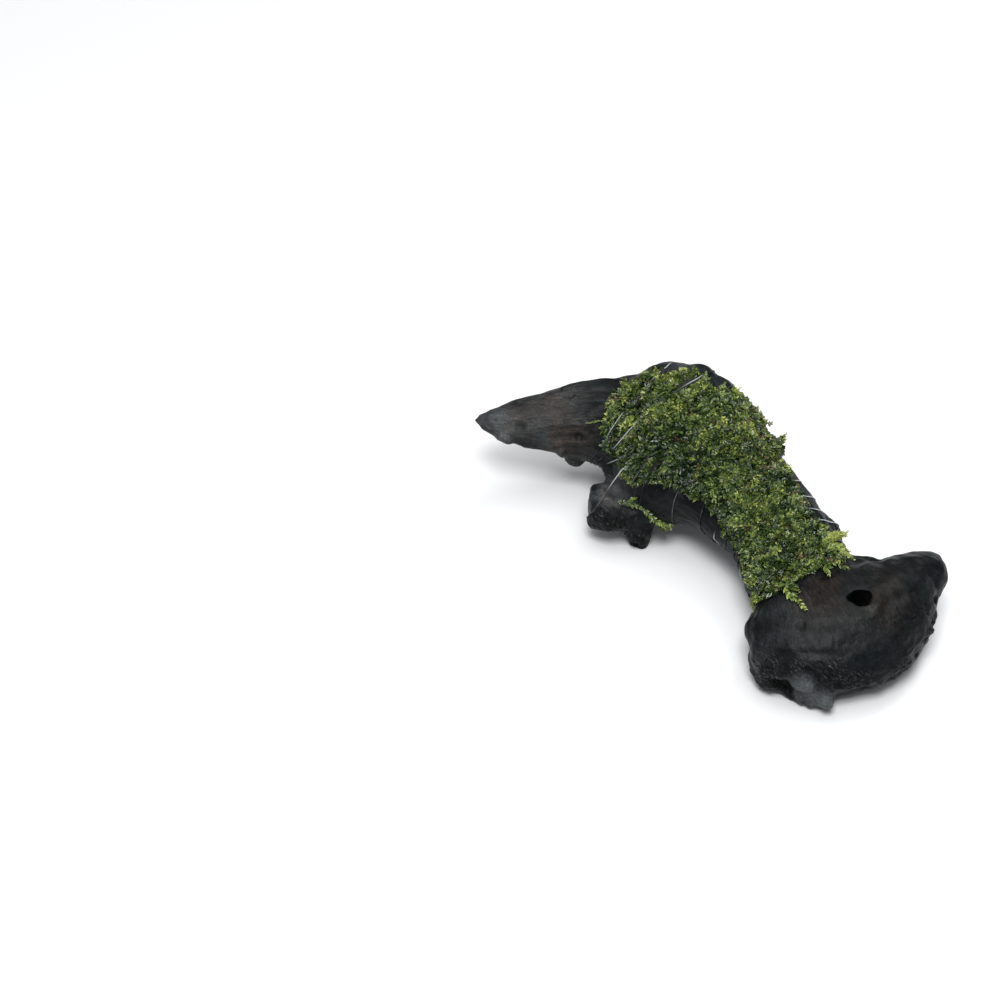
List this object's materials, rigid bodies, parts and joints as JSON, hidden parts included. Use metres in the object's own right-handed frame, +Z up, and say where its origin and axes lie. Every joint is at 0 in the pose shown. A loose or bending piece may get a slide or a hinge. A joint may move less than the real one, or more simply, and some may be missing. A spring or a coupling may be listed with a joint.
{
  "type": "moss on driftwood",
  "caption": "Dark driftwood root with a pointed arm, a side stub and a flared knob, with green aquarium moss tied over its shoulder by a thin clear line.",
  "frame": {"origin": "middle of the whole piece's bounding box, on the ground that it rests on", "axes": "+X from the pointed arm's side to the flared knob's side, +Y to the back, +Z up"},
  "size_m": [0.1335, 0.1112, 0.0421],
  "materials": {
    "driftwood": "weathered, waterlogged, nearly black",
    "moss": "wet small leaves",
    "nylon": "clear, glossy"
  },
  "bodies": {
    "root": {"driftwood_trunk": "driftwood", "driftwood_arm": "driftwood", "driftwood_stub": "driftwood", "moss_mat": "moss", "nylon_line": "nylon"}
  },
  "joints": []
}
